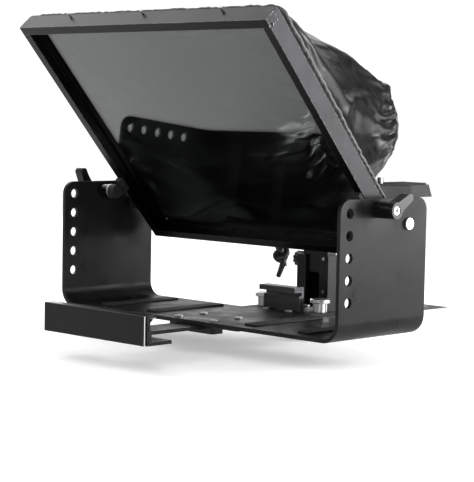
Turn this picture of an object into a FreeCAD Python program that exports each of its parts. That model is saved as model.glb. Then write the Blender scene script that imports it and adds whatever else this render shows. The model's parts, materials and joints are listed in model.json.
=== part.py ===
import FreeCAD, Part
import math
import os
from FreeCAD import Placement, Rotation, Vector

# Beamsplitter teleprompter for a tablet. Millimetres, +Z up, +Y towards the camera that looks through
# the glass, X across. The origin is the mouth of the tripod socket, under the base rail.

# ---- driving dimensions ----
SHEET = 3.4                 # bent sheet of the U bracket
BED_INNER = 328.0           # clear width between the two ears
EAR_DEPTH = 108.0
EAR_HEIGHT = 113.6          # outside height, from the underside of the floor
EAR_FRONT = -159.0          # front edge of the ears, measured from the tripod socket
BEND_R = 13.0               # inside radius of the two bends
EAR_CORNER_R = 11.0
EAR_HOLE_R = 4.1
EAR_HOLE_PITCH = 17.6
EAR_HOLE_INSET = 11.3       # hole centres behind the front edge
EAR_HOLE_DROP = 10.9        # top hole below the top edge
EAR_HOLES = 5

BLOCK_T = 6.0               # tripod block
RAIL_T = 6.5
RAIL_W = 38.0
CROSS_T = 8.5               # cross block between the rail and the bracket's floor
PAD_T = 1.6
TABLET_DEPTH = 214.9        # the largest tablet that the clip and the rear stop hold

FRAME_W = 295.0
FRAME_H = 250.5
FRAME_T = 16.3
FRAME_LEAN = 41.35          # top leans forward of upright, in degrees
BEZEL = 8.0
GLASS_T = 3.0
GLASS_FRONT = 8.0           # glass face behind the frame's front face
GROOVE_DEPTH = 4.0
BUSH_DEPTH = 3.8            # of the pivot bushes in the side rails, short of the glass groove
PIVOT_V = 32.75             # pivot above the frame's lower edge
PIVOT_N = 9.9               # pivot behind the frame's front face
PIVOT_Y = -75.4
PIVOT_Z = 113.4

LEVER_Y = -114.8
LEVER_Z = 126.0
HUB_R = 6.75
HUB_LEN = 20.3
ARM_REACH = 18.8
ARM_ANGLE = {"right": 31.0, "left": 118.0}   # above the rearward horizontal
POST_R = 5.75
BUMPER_R = 6.0

RISER_FRONT = -2.0
RISER_DEPTH = 20.0
RISER_TOP = 71.8
RISER_WALL = 4.0
RISER_LIP = 10.6
COLUMN_FOOT = 56.0
BRACKET_TOP = 134.0
BRACKET_REAR = 116.0
SLED_FRONT = 53.0
SLED_REAR = 153.0
SLED_Z = 122.3
CAMERA_Y = 92.0             # camera screw
CAMERA_THREAD = 5.5         # length of quarter-inch thread above the pad
CAMERA_THREAD_R = 3.15
PAD_GROOVES, PAD_GROOVE_PITCH = 19, 4.5
SLOT_HALF = 3.3
CARRIAGE_BOLT_Y = 46.0
RAIL_REAR = 182.0
KNOB_Y, KNOB_Z = 8.0, 66.5
SLED_KNOB_Y, SLED_KNOB_Z = 84.0, 127.5

CLIP_HALF = 62.2
CLIP_Z = 17.6               # underside of the tablet clip
CLIP_H = 24.0
CLIP_SHEET = 2.6
CLIP_LIP = 3.0              # deep lip at the bottom, as thick as the slide bar behind it
CLIP_LIP_DEPTH = 26.0
CLIP_FACE_T = 2.0
GUIDE_Z = 14.2              # underside of the guide blocks
BAR_HALF = 15.0             # slide bar of the clip, half its width
BAR_FRONT = 12.0            # its front end, behind the clip's front wall

HOOD_WALL = 1.6
HOOD_SQUARE = 9.0           # squareness of the hood's section at the frame; 2 is an ellipse
HOOD_RISE = 5.7             # sag of the hood's middle line, upward
HOOD_FULL_W, HOOD_FULL_H = 13.0, 8.7   # extra fullness near the lens end
LENS_Y, LENS_Z, LENS_R = 52.0, 190.5, 48.5
CUFF_Y, CUFF_Z, CUFF_R = 59.0, 189.0, 41.0
CUFF_DEPTH = 5.0
HOOD_STATIONS = [k / 12 for k in range(13)]

# ---- screw places, as x and y ----
THUMB_SPOTS = [(-34.0, -29.0), (34.0, -29.0)]
GUIDE_SPANS = [(-157.0, -143.0), (-127.0, -113.0)]
FLOOR_SCREW_SPOTS = [(x, sum(span) / 2) for span in GUIDE_SPANS for x in (-21.0, 21.0)]
FLOOR_SCREW_SPOTS += [(x, -47.5) for x in (-13.0, 13.0)]
RAIL_SCREW_SPOTS = [(x, y) for x in (-10.0, 10.0) for y in (-40.0, -30.0)]
BLOCK_SCREW_SPOTS = [(x, y) for x in (-13.0, 13.0) for y in (-15.0, 15.0)]

# ---- heights and edges that follow from them ----
RAIL_Z = BLOCK_T
CROSS_Z = RAIL_Z + RAIL_T
FLOOR_Z = CROSS_Z + CROSS_T
BED_Z = FLOOR_Z + SHEET
TABLET_Z = BED_Z + PAD_T
EAR_TOP = FLOOR_Z + EAR_HEIGHT
EAR_REAR = EAR_FRONT + EAR_DEPTH
EAR_IN = BED_INNER / 2
EAR_OUT = EAR_IN + SHEET
STOP_Y = EAR_REAR + 8.0
STOP_HALF = 21.7
STOP_SCREW_SPOTS = [(x, STOP_Y + 20) for x in (-12.0, 12.0)]
TABLET_FRONT = STOP_Y - TABLET_DEPTH
CLIP_FRONT = TABLET_FRONT - 5.5
CLIP_SCREW_SPOTS = [(x, CLIP_FRONT + 15) for x in (-19.5, 19.5)]
CLIP_TOP = CLIP_Z + CLIP_H
BAR_TOP = CLIP_Z + CLIP_LIP
HOOD_START_N = FRAME_T + 2.0
HOOD_NORMAL = Vector(0, math.cos(math.radians(FRAME_LEAN)), math.sin(math.radians(FRAME_LEAN)))
SLED_TOP = BRACKET_TOP + 0.3
CAMERA_SEAT_Z = SLED_TOP + 1.6
FRAME_SIDE = FRAME_W / 2
RISER_REAR = RISER_FRONT + RISER_DEPTH
FOOT_TOP = CROSS_Z + 4.0
SIDES = {"left": -1, "right": 1}
X_AXIS, Y_AXIS, Z_AXIS = Vector(1, 0, 0), Vector(0, 1, 0), Vector(0, 0, 1)


# ---- shape helpers ----
def box(x0, x1, y0, y1, z0, z1):
    return Part.makeBox(x1 - x0, y1 - y0, z1 - z0, Vector(x0, y0, z0))


def cyl(axis, start, end, a, b, radius):
    """Cylinder along a row axis from start to end; a and b are its other two coordinates, in order."""
    if axis is X_AXIS:
        base = Vector(start, a, b)
    elif axis is Y_AXIS:
        base = Vector(a, start, b)
    else:
        base = Vector(a, b, start)
    return Part.makeCylinder(radius, end - start, base, axis)


def tube(axis, start, end, a, b, outer, inner):
    return cyl(axis, start, end, a, b, outer).cut(cyl(axis, start - 1, end + 1, a, b, inner))


def side_cyl(side, start, end, y, z, radius):
    """Cylinder along X whose ends are given as distances out from the middle plane."""
    low, high = sorted((side * start, side * end))
    return cyl(X_AXIS, low, high, y, z, radius)


def slot(x, y0, y1, z0, z1, half_width):
    """Round-ended slot cutter along Y."""
    body = box(x - half_width, x + half_width, y0 + half_width, y1 - half_width, z0, z1)
    for y in (y0 + half_width, y1 - half_width):
        body = body.fuse(cyl(Z_AXIS, z0, z1, x, y, half_width))
    return body.removeSplitter()


def profile_x(points, x0, x1):
    """Closed outline in the YZ plane, drawn at x0 and extruded to x1."""
    corners = [Vector(x0, y, z) for y, z in points]
    wire = Part.makePolygon(corners + corners[:1])
    return Part.Face(wire).extrude(Vector(x1 - x0, 0, 0))


def edges_along(shape, axis):
    """Straight edges parallel to an axis."""
    found = []
    for edge in shape.Edges:
        if len(edge.Vertexes) == 2:
            run = edge.Vertexes[1].Point - edge.Vertexes[0].Point
            if run.Length > 0 and run.cross(axis).Length < 1e-6 * run.Length:
                found.append(edge)
    return found


def rounded(shape, radius, axis):
    return shape.makeFillet(radius, edges_along(shape, axis))


def knurled(axis, start, end, a, b, radius, ribs, depth):
    """Cylinder with round flutes cut along its rim."""
    body = cyl(axis, start, end, a, b, radius)
    for k in range(ribs):
        turn = 2 * math.pi * k / ribs
        flute = cyl(axis, start - 1, end + 1, a + radius * math.cos(turn), b + radius * math.sin(turn), depth)
        body = body.cut(flute)
    return body


def group(shapes):
    return shapes[0] if len(shapes) == 1 else Part.makeCompound(shapes)


def on_frame(shape):
    """Place a shape drawn upright, with its pivot at the origin, on the leaning glass frame."""
    shape = shape.copy()
    shape.rotate(Vector(0, 0, 0), X_AXIS, FRAME_LEAN)
    shape.translate(Vector(0, PIVOT_Y, PIVOT_Z))
    return shape


def frame_box(u0, u1, n0, n1, v0, v1):
    """Box in frame coordinates: u across, n back from the front face, v up from the lower edge."""
    return box(u0, u1, n0 - PIVOT_N, n1 - PIVOT_N, v0 - PIVOT_V, v1 - PIVOT_V)


# ---- U bracket and bed ----
def u_bracket():
    outer_r = BEND_R + SHEET
    outer = box(-EAR_OUT, EAR_OUT, EAR_FRONT, EAR_REAR, FLOOR_Z, EAR_TOP)
    outer = outer.makeFillet(outer_r, [e for e in edges_along(outer, Y_AXIS) if e.BoundBox.ZMax < FLOOR_Z + 1])
    inner = box(-EAR_IN, EAR_IN, EAR_FRONT - 5, EAR_REAR + 5, BED_Z, EAR_TOP + 20)
    inner = inner.makeFillet(BEND_R, [e for e in edges_along(inner, Y_AXIS) if e.BoundBox.ZMax < BED_Z + 1])
    bracket = outer.cut(inner)
    tops = [e for e in edges_along(bracket, X_AXIS) if e.BoundBox.ZMin > EAR_TOP - 1]
    bracket = bracket.makeFillet(EAR_CORNER_R, tops)
    tongue = rounded(box(-42, 42, EAR_REAR - 20, STOP_Y + 31, FLOOR_Z, BED_Z), 6, Z_AXIS)
    bracket = bracket.fuse(tongue).removeSplitter()
    for side in SIDES.values():
        for k in range(EAR_HOLES):
            z = EAR_TOP - EAR_HOLE_DROP - k * EAR_HOLE_PITCH
            y = EAR_FRONT + EAR_HOLE_INSET
            bracket = bracket.cut(side_cyl(side, EAR_IN - 1, EAR_OUT + 1, y, z, EAR_HOLE_R))
        bracket = bracket.cut(side_cyl(side, EAR_IN - 1, EAR_OUT + 1, PIVOT_Y, PIVOT_Z, 3.05))
        bracket = bracket.cut(side_cyl(side, EAR_IN - 1, EAR_OUT + 1, LEVER_Y, LEVER_Z, 3.3))
    for x, y in THUMB_SPOTS:
        bracket = bracket.cut(cyl(Z_AXIS, FLOOR_Z - 1, BED_Z + 1, x, y, 3.2))
    for x, y in FLOOR_SCREW_SPOTS + STOP_SCREW_SPOTS:
        bracket = bracket.cut(cyl(Z_AXIS, FLOOR_Z - 1, BED_Z + 1, x, y, 2.1))
    return bracket


def bed_pads():
    """Four rubber strips on the floor of the bracket, for the tablet to lie on."""
    pads = []
    for x in (-120, -60, 60, 120):
        pads.append(rounded(box(x - 7, x + 7, EAR_FRONT + 12, EAR_REAR - 10, BED_Z, TABLET_Z), 3, Z_AXIS))
    return group(pads)


def cross_block():
    block = rounded(box(-42, 42, EAR_REAR, STOP_Y + 31, CROSS_Z, FLOOR_Z), 4, Z_AXIS)
    for x, y in THUMB_SPOTS:
        block = block.cut(cyl(Z_AXIS, CROSS_Z - 1, FLOOR_Z + 1, x, y, 3.05))
    for x, y in FLOOR_SCREW_SPOTS[-2:] + STOP_SCREW_SPOTS:
        block = block.cut(cyl(Z_AXIS, CROSS_Z - 1, FLOOR_Z + 1, x, y, 2.0))
    for x, y in RAIL_SCREW_SPOTS:
        block = block.cut(cyl(Z_AXIS, CROSS_Z - 1, CROSS_Z + 6, x, y, 2.0))
    return block


def base_rail():
    rail = rounded(box(-RAIL_W / 2, RAIL_W / 2, -60, RAIL_REAR, RAIL_Z, CROSS_Z), 3, Z_AXIS)
    rail = rail.cut(slot(0, 36.5, RAIL_REAR - 5, RAIL_Z - 1, CROSS_Z + 1, 3.5))
    rail = rail.cut(cyl(Z_AXIS, RAIL_Z - 1, CROSS_Z + 1, 0, 0, 4.76))
    for x, y in RAIL_SCREW_SPOTS:
        rail = rail.cut(screw_seat(x, y, RAIL_Z, CROSS_Z + 1))
    for x, y in BLOCK_SCREW_SPOTS:
        rail = rail.cut(cyl(Z_AXIS, RAIL_Z - 1, RAIL_Z + 5, x, y, 2.0))
    return rail


def screw_seat(x, y, z0, z1):
    """Clearance hole with a countersink that opens downward at z0."""
    sink = Part.makeCone(4.2, 2.0, 2.2, Vector(x, y, z0), Z_AXIS)
    return sink.fuse(cyl(Z_AXIS, z0 - 0.5, z1, x, y, 2.0)).removeSplitter()


def sunk_screw(x, y, z0, z1):
    """Countersunk screw driven upward from z0, with a hexagon socket."""
    head = Part.makeCone(4.0, 1.95, 2.1, Vector(x, y, z0 + 0.05), Z_AXIS)
    screw = head.fuse(cyl(Z_AXIS, z0 + 0.1, z1, x, y, 1.95)).removeSplitter()
    return screw.cut(hex_socket(x, y, z0 - 1, z0 + 1.6, 1.25))


def hex_socket(x, y, z0, z1, radius):
    corners = [Vector(x + radius * math.cos(k * math.pi / 3), y + radius * math.sin(k * math.pi / 3), z0)
               for k in range(6)]
    return Part.Face(Part.makePolygon(corners + corners[:1])).extrude(Vector(0, 0, z1 - z0))


def base_screws():
    rail = [sunk_screw(x, y, RAIL_Z, CROSS_Z + 5.5) for x, y in RAIL_SCREW_SPOTS]
    block = [sunk_screw(x, y, 0, RAIL_Z + 4.5) for x, y in BLOCK_SCREW_SPOTS]
    return group(rail + block)


def tripod_block():
    block = box(-20, 20, -22, 22, 0, RAIL_Z)
    block = rounded(block, 4, Z_AXIS)
    block = block.cut(cyl(Z_AXIS, -1, RAIL_Z + 1, 0, 0, 4.76))
    for x, y in BLOCK_SCREW_SPOTS:
        block = block.cut(screw_seat(x, y, 0, RAIL_Z + 1))
    return block


def tripod_insert():
    """Steel bush with a quarter-inch thread, set in the three-eighths hole."""
    return tube(Z_AXIS, 0, CROSS_Z, 0, 0, 4.75, 3.175)


def pan_screw(x, y, seat, tip):
    """Low pan-head screw driven downward from its seat, with a hexagon socket."""
    screw = cyl(Z_AXIS, seat, seat + 1.4, x, y, 3.6).fuse(cyl(Z_AXIS, tip, seat, x, y, 1.95))
    return screw.removeSplitter().cut(hex_socket(x, y, seat + 0.5, seat + 2, 1.25))


def floor_screws():
    return group([pan_screw(x, y, BED_Z, FLOOR_Z - 6.5) for x, y in FLOOR_SCREW_SPOTS])


def rear_stop():
    """Bar behind the tablet with an overhanging flange, on a foot between the thumbscrews."""
    depth, groove, overhang, ridge_z, flange_z, top = 5.6, 3.0, 6.4, 38.0, 41.8, 46.4
    outline = [(STOP_Y, BED_Z), (STOP_Y, ridge_z), (STOP_Y + groove, ridge_z), (STOP_Y + groove, flange_z),
               (STOP_Y - overhang, flange_z), (STOP_Y - overhang, top), (STOP_Y + depth, top),
               (STOP_Y + depth, BED_Z)]
    foot = box(-STOP_HALF + 1, STOP_HALF - 1, STOP_Y + 3, STOP_Y + 29, BED_Z, BED_Z + 3)
    stop = profile_x(outline, -STOP_HALF, STOP_HALF).fuse(foot).removeSplitter()
    for x, y in STOP_SCREW_SPOTS:
        stop = stop.cut(cyl(Z_AXIS, BED_Z - 1, BED_Z + 4, x, y, 2.1))
    return stop


def rear_stop_screws():
    return group([pan_screw(x, y, BED_Z + 3, FLOOR_Z - 5.0) for x, y in STOP_SCREW_SPOTS])


def guide_blocks():
    """Two keepers under the floor, with a pocket for the clip's slide bar."""
    guides = []
    for number, (y0, y1) in enumerate(GUIDE_SPANS):
        guide = rounded(box(-27, 27, y0, y1, GUIDE_Z, FLOOR_Z), 3, Z_AXIS)
        guide = guide.cut(box(-BAR_HALF - 0.15, BAR_HALF + 0.15, y0 - 1, y1 + 1, CLIP_Z - 0.15, FLOOR_Z + 1))
        for x in (-21.0, 21.0):
            guide = guide.cut(cyl(Z_AXIS, GUIDE_Z - 1, FLOOR_Z + 1, x, (y0 + y1) / 2, 2.0))
        if number == 0:
            guide = guide.cut(cyl(Z_AXIS, GUIDE_Z - 1, CLIP_Z, 0, (y0 + y1) / 2, 2.5))
        guides.append(guide)
    return group(guides)


def clip_plunger():
    """Spring plunger in the front guide block, which holds the clip's bar by friction."""
    y = sum(GUIDE_SPANS[0]) / 2
    barrel = cyl(Z_AXIS, GUIDE_Z, CLIP_Z - 0.6, 0, y, 2.45)
    return barrel.cut(hex_socket(0, y, GUIDE_Z - 1, GUIDE_Z + 1.4, 1.25))


def pivot_screws():
    """Low-head screws, one through each ear, that carry the frame."""
    screws = []
    for side in SIDES.values():
        head = side_cyl(side, EAR_OUT, EAR_OUT + 2.4, PIVOT_Y, PIVOT_Z, 5.0)
        shank = side_cyl(side, FRAME_SIDE - BUSH_DEPTH, EAR_OUT, PIVOT_Y, PIVOT_Z, 3.0)
        screws.append(head.fuse(shank).removeSplitter())
    return group(screws)


def pivot_spacers():
    rings = []
    for side in SIDES.values():
        sleeve = side_cyl(side, FRAME_SIDE + 0.4, EAR_IN, PIVOT_Y, PIVOT_Z, 5.6)
        sleeve = sleeve.cut(side_cyl(side, FRAME_SIDE - 1, EAR_IN + 1, PIVOT_Y, PIVOT_Z, 3.05))
        rings.append(sleeve)
    return group(rings)


def stop_posts():
    """Tubes on the inner faces of the ears, in front of the frame."""
    posts = []
    for side in SIDES.values():
        tube_body = side_cyl(side, 151.2, EAR_IN, LEVER_Y, LEVER_Z, POST_R)
        posts.append(tube_body.cut(side_cyl(side, 150, EAR_IN + 1, LEVER_Y, LEVER_Z, 3.1)))
    return group(posts)


def stop_washers():
    rings = []
    for side in SIDES.values():
        ring = side_cyl(side, 150.0, 151.2, LEVER_Y, LEVER_Z, 6.2)
        rings.append(ring.cut(side_cyl(side, 149, 152, LEVER_Y, LEVER_Z, 3.1)))
    return group(rings)


def stop_bumpers():
    """Rubber caps that the frame's pads lean on."""
    return group([side_cyl(side, 142.0, 150.0, LEVER_Y, LEVER_Z, BUMPER_R) for side in SIDES.values()])


# ---- clamp levers ----
def lever_handle(name):
    side = SIDES[name]
    turn = math.radians(ARM_ANGLE[name])
    along = Vector(0, math.cos(turn), math.sin(turn))
    across = Vector(0, -math.sin(turn), math.cos(turn))
    centre = Vector(side * (EAR_OUT + 0.3), LEVER_Y, LEVER_Z)
    out = Vector(side, 0, 0)
    hub = Part.makeCylinder(HUB_R, HUB_LEN, centre, out)
    base = centre + out * (HUB_LEN - 9.0)
    corners = [base + across * 5.6, base + along * ARM_REACH + across * 3.6,
               base + along * (ARM_REACH + 3.6), base + along * ARM_REACH - across * 3.6,
               base + along * 9 - across * 3.9, base - across * 6.2]
    tip = Part.Arc(corners[1], corners[2], corners[3]).toShape()
    under = Part.Arc(corners[3], corners[4], corners[5]).toShape()
    wire = Part.Wire([Part.makeLine(corners[0], corners[1]), tip, under, Part.makeLine(corners[5], corners[0])])
    arm = Part.Face(wire).extrude(out * 9.0)
    handle = hub.fuse(arm).removeSplitter()
    handle = handle.cut(side_cyl(side, EAR_OUT, EAR_OUT + HUB_LEN - 5, LEVER_Y, LEVER_Z, 3.05))
    return handle.cut(side_cyl(side, EAR_OUT + HUB_LEN - 5.5, EAR_OUT + HUB_LEN + 2, LEVER_Y, LEVER_Z, 3.8))


def lever_screw(name):
    """Socket screw in the hub's end, which holds the handle on its toothed stud."""
    side = SIDES[name]
    screw = side_cyl(side, EAR_OUT + HUB_LEN - 4.9, EAR_OUT + HUB_LEN - 0.2, LEVER_Y, LEVER_Z, 3.6)
    return screw.cut(side_cyl(side, EAR_OUT + HUB_LEN - 2.2, EAR_OUT + HUB_LEN + 1, LEVER_Y, LEVER_Z, 1.5))


def lever_stud(name):
    side = SIDES[name]
    return side_cyl(side, 152.0, EAR_OUT + HUB_LEN - 5.2, LEVER_Y, LEVER_Z, 3.0)


# ---- thumbscrews and knobs ----
def thumbscrew(x, y):
    """Flanged thumbscrew: fluted hub under a round flange, on a threaded shank."""
    hub = knurled(Z_AXIS, BED_Z + 0.3, BED_Z + 8.3, x, y, 6.4, 8, 1.3)
    flange = cyl(Z_AXIS, BED_Z + 8.3, BED_Z + 12.2, x, y, 8.75)
    flange = flange.makeChamfer(0.6, [e for e in flange.Edges if len(e.Vertexes) == 1])
    shank = cyl(Z_AXIS, CROSS_Z + 1, BED_Z + 1, x, y, 3.0)
    return hub.fuse(flange).fuse(shank).removeSplitter()


def rail_lock_knob():
    head = knurled(Z_AXIS, -4.5, 3.6, 0, CARRIAGE_BOLT_Y, 9.0, 12, 1.1)
    return head.fuse(cyl(Z_AXIS, 3, FOOT_TOP - 0.6, 0, CARRIAGE_BOLT_Y, 3.0)).removeSplitter()


def side_knob(y, z, face, reach, radius):
    """Fluted knob on the left whose shank reaches in to a given distance from the middle plane."""
    head = knurled(X_AXIS, -face - 8.2, -face - 0.6, y, z, radius, 10, 1.0)
    return head.fuse(cyl(X_AXIS, -face - 1, -reach, y, z, 2.5)).removeSplitter()


# ---- tablet clip ----
def clip_channel():
    """Bent sheet: front wall, deep bottom lip notched for the slide bar, and short top lip."""
    y0, top = CLIP_FRONT, CLIP_TOP - 0.4
    outline = [(y0, CLIP_Z), (y0 + CLIP_LIP_DEPTH, CLIP_Z), (y0 + CLIP_LIP_DEPTH, BAR_TOP),
               (y0 + CLIP_SHEET, BAR_TOP), (y0 + CLIP_SHEET, top - 1.6), (y0 + 8.5, top - 1.6),
               (y0 + 8.5, top), (y0, top)]
    body = profile_x(outline, -CLIP_HALF, CLIP_HALF)
    body = body.cut(box(-BAR_HALF - 0.1, BAR_HALF + 0.1, y0 + BAR_FRONT - 0.1, y0 + 30, CLIP_Z - 1, BAR_TOP + 1))
    for x, y in CLIP_SCREW_SPOTS:
        body = body.cut(screw_seat(x, y, CLIP_Z, BAR_TOP + 1))
    return body


def clip_face():
    """Cover plate over the clip's front wall."""
    y0 = CLIP_FRONT - CLIP_FACE_T
    plate = box(-CLIP_HALF, CLIP_HALF - 1.8, y0, CLIP_FRONT, CLIP_Z - 0.2, CLIP_TOP - 0.2)
    edges = [e for e in plate.Edges if abs(e.BoundBox.YMin - y0) < 0.01 and e.BoundBox.YLength < 0.01]
    return plate.makeFillet(0.7, edges)


def clip_liner():
    """Rubber strip between the clip's wall and the tablet's edge."""
    y0 = CLIP_FRONT + CLIP_SHEET
    return box(-CLIP_HALF + 1, CLIP_HALF - 1, y0, TABLET_FRONT - 0.3, BAR_TOP, CLIP_Z + 12)


def clip_leaf():
    """Curved spring leaf that presses the tablet's edge down."""
    y0 = CLIP_FRONT + CLIP_SHEET + 0.1
    z0, z1 = CLIP_Z + 12.2, CLIP_TOP - 2.2
    low, mid, high = Vector(0, y0, z0), Vector(0, y0 + 1.6, (z0 + z1) / 2 + 0.6), Vector(0, y0 + 7, z1 - 0.2)
    shift = Vector(0, 0.8, -0.2)
    wire = Part.Wire([Part.Arc(low, mid, high).toShape(), Part.makeLine(high, high + shift),
                      Part.Arc(high + shift, mid + shift, low + shift).toShape(),
                      Part.makeLine(low + shift, low)])
    leaf = Part.Face(wire).extrude(Vector(2 * CLIP_HALF - 4, 0, 0))
    leaf.translate(Vector(-CLIP_HALF + 2, 0, 0))
    return leaf


def clip_bar():
    """Slide bar under the bracket's floor; a wider plate on its front end joins it to the clip's lip."""
    bar = box(-BAR_HALF, BAR_HALF, CLIP_FRONT + BAR_FRONT, -110, CLIP_Z, BAR_TOP)
    plate = rounded(box(-26, 26, CLIP_FRONT + 6, CLIP_FRONT + 25, BAR_TOP, BAR_TOP + 2.4), 2, Z_AXIS)
    bar = bar.fuse(plate).removeSplitter()
    for x, y in CLIP_SCREW_SPOTS:
        bar = bar.cut(cyl(Z_AXIS, BAR_TOP - 1, BAR_TOP + 2, x, y, 2.0))
    return bar


def clip_screws():
    return group([sunk_screw(x, y, CLIP_Z, BAR_TOP + 1.8) for x, y in CLIP_SCREW_SPOTS])


# ---- glass frame ----
def frame_side_rail(side):
    rail = frame_box(-FRAME_SIDE, -FRAME_SIDE + BEZEL, 0, FRAME_T, 0, FRAME_H)
    rail = rail.cut(frame_box(-FRAME_SIDE - 1, -FRAME_SIDE + BEZEL + 1, -1, 10.5, FRAME_H - BEZEL, FRAME_H + 1))
    rail = rail.cut(frame_box(-FRAME_SIDE - 1, -FRAME_SIDE + BEZEL + 1, -1, 10.5, -1, BEZEL))
    groove = frame_box(-FRAME_SIDE + BEZEL - GROOVE_DEPTH, 0, GLASS_FRONT - 0.1, GLASS_FRONT + GLASS_T + 0.1,
                       BEZEL - GROOVE_DEPTH, FRAME_H - BEZEL + GROOVE_DEPTH)
    rail = rail.cut(groove)
    rail = rail.cut(cyl(X_AXIS, -FRAME_SIDE - 1, -FRAME_SIDE + BEZEL - GROOVE_DEPTH, 0, 0, 4.1))
    if side > 0:
        rail = rail.mirror(Vector(0, 0, 0), X_AXIS)
    return on_frame(rail)


def frame_cross_rail(top):
    """Top or bottom rail between the side rails, with tenons that show on the sides."""
    v0 = FRAME_H - BEZEL if top else 0
    half = FRAME_SIDE - BEZEL
    rail = frame_box(-half, half, 0, FRAME_T, v0, v0 + BEZEL)
    for side in SIDES.values():
        u0, u1 = sorted((side * half, side * FRAME_SIDE))
        rail = rail.fuse(frame_box(u0, u1, 0.05, 10.4, v0 + (0.1 if top else 0), v0 + BEZEL - (0 if top else 0.1)))
    g0 = FRAME_H - BEZEL - 1 if top else BEZEL - GROOVE_DEPTH
    groove = frame_box(-FRAME_SIDE + BEZEL - GROOVE_DEPTH, FRAME_SIDE - BEZEL + GROOVE_DEPTH, GLASS_FRONT - 0.1,
                       GLASS_FRONT + GLASS_T + 0.1, g0, g0 + GROOVE_DEPTH + 1)
    rail = rail.removeSplitter().cut(groove)
    notch = frame_box(FRAME_SIDE - 2, FRAME_SIDE + 1, 2.0, 4.2, v0 + (0.4 if top else 5.2), v0 + (2.6 if top else 7.4))
    return on_frame(rail.cut(notch).cut(notch.mirror(Vector(0, 0, 0), X_AXIS)))


def glass():
    half = FRAME_SIDE - BEZEL + GROOVE_DEPTH - 0.5
    edge = BEZEL - GROOVE_DEPTH + 0.5
    return on_frame(frame_box(-half, half, GLASS_FRONT, GLASS_FRONT + GLASS_T, edge, FRAME_H - edge))


def frame_ring(outset, inset, n0, n1):
    """Rectangular ring on the frame: outset beyond the frame's outline, inset inside it."""
    outer = frame_box(-FRAME_SIDE - outset, FRAME_SIDE + outset, n0, n1, -outset, FRAME_H + outset)
    inner = frame_box(-FRAME_SIDE + inset, FRAME_SIDE - inset, n0 - 1, n1 + 1, inset, FRAME_H - inset)
    return outer.cut(inner)


def glass_gasket():
    """Soft bead that beds the glass behind its front edge."""
    return on_frame(frame_ring(-BEZEL, BEZEL + 2.2, GLASS_FRONT + GLASS_T + 0.05, GLASS_FRONT + GLASS_T + 2.0))


def velcro_strips():
    """Hook tape on the back of the frame, which holds the hood."""
    return on_frame(frame_ring(-0.6, BEZEL - 0.4, FRAME_T, FRAME_T + 1.6))


def frame_bushes():
    """Flanged nylon bushes that the frame turns on."""
    bushes = []
    for side in SIDES.values():
        low, high = sorted((side * (FRAME_SIDE - BUSH_DEPTH), side * (FRAME_SIDE + 0.3)))
        bush = cyl(X_AXIS, low, high, 0, 0, 4.1)
        flange_low, flange_high = sorted((side * FRAME_SIDE, side * (FRAME_SIDE + 0.3)))
        bush = bush.fuse(cyl(X_AXIS, flange_low, flange_high, 0, 0, 5.6)).removeSplitter()
        bushes.append(on_frame(bush.cut(cyl(X_AXIS, low - 1, high + 1, 0, 0, 3.05))))
    return group(bushes)


def stop_pads():
    """Rubber pads on the bezel, where the frame leans on the stop bumpers."""
    centre = 68.2
    pads = []
    for side in SIDES.values():
        u0, u1 = sorted((side * (FRAME_SIDE - BEZEL + 0.5), side * (FRAME_SIDE - 0.5)))
        pads.append(on_frame(frame_box(u0, u1, -5.0, 0, centre - 7, centre + 7)))
    return group(pads)


def hood_studs():
    """Three small posts on the top rail that the hood's loops hook over."""
    studs = []
    for u in (-91.0, 0.0, 91.0):
        stem = cyl(Z_AXIS, FRAME_H - PIVOT_V, FRAME_H - PIVOT_V + 2.6, u, 13.6 - PIVOT_N, 0.9)
        cap = cyl(Z_AXIS, FRAME_H - PIVOT_V + 2.6, FRAME_H - PIVOT_V + 3.6, u, 13.6 - PIVOT_N, 1.5)
        studs.append(on_frame(stem.fuse(cap).removeSplitter()))
    return group(studs)


# ---- hood ----
def blend(start, end, amount):
    return start + (end - start) * amount


def hood_section(t, inset):
    """Closed section of the hood, from the frame's back (t = 0) to the lens cuff (t = 1)."""
    lean = math.radians(FRAME_LEAN)
    up_v = Vector(0, -math.sin(lean), math.cos(lean))
    pivot = Vector(0, PIVOT_Y, PIVOT_Z)
    start = pivot + up_v * (FRAME_H / 2 - PIVOT_V) + HOOD_NORMAL * (HOOD_START_N - PIVOT_N)
    end = Vector(0, LENS_Y, LENS_Z)
    arc = math.sin(math.pi * t)
    centre = start + (end - start) * t + Vector(0, 0, HOOD_RISE) * arc
    tilt = lean * (1 - t) ** 1.2
    up = Vector(0, -math.sin(tilt), math.cos(tilt))
    half_w = blend(LENS_R, FRAME_SIDE - 1.6, (1 - t) ** 1.4) + HOOD_FULL_W * arc * t - inset
    half_h = blend(LENS_R, FRAME_H / 2 - 4, (1 - t) ** 1.18) + HOOD_FULL_H * arc * t - inset
    squareness = blend(HOOD_SQUARE, 2.0, min(1.0, t * 1.7) ** 0.7)
    return section_wire(centre, up, half_w, half_h, squareness)


def hood_sections(inset):
    """All sections, ending in the short cuff that the elastic closes round the lens."""
    cuffs = [section_wire(Vector(0, y, CUFF_Z), Z_AXIS, CUFF_R - inset, CUFF_R - inset, 2.0)
             for y in (CUFF_Y, CUFF_Y + CUFF_DEPTH)]
    return [hood_section(t, inset) for t in HOOD_STATIONS] + cuffs


def section_wire(centre, up, half_w, half_h, squareness):
    """Closed curve between an ellipse (squareness 2) and a rounded rectangle (a higher squareness)."""
    points = []
    for k in range(48):
        angle = 2 * math.pi * (k + 0.5) / 48
        c, s = math.cos(angle), math.sin(angle)
        reach = (abs(c) ** squareness + abs(s) ** squareness) ** (-1 / squareness)
        points.append(centre + X_AXIS * (half_w * reach * c) + up * (half_h * reach * s))
    curve = Part.BSplineCurve()
    curve.interpolate(points, PeriodicFlag=True)
    return Part.Wire([curve.toShape()])


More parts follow.
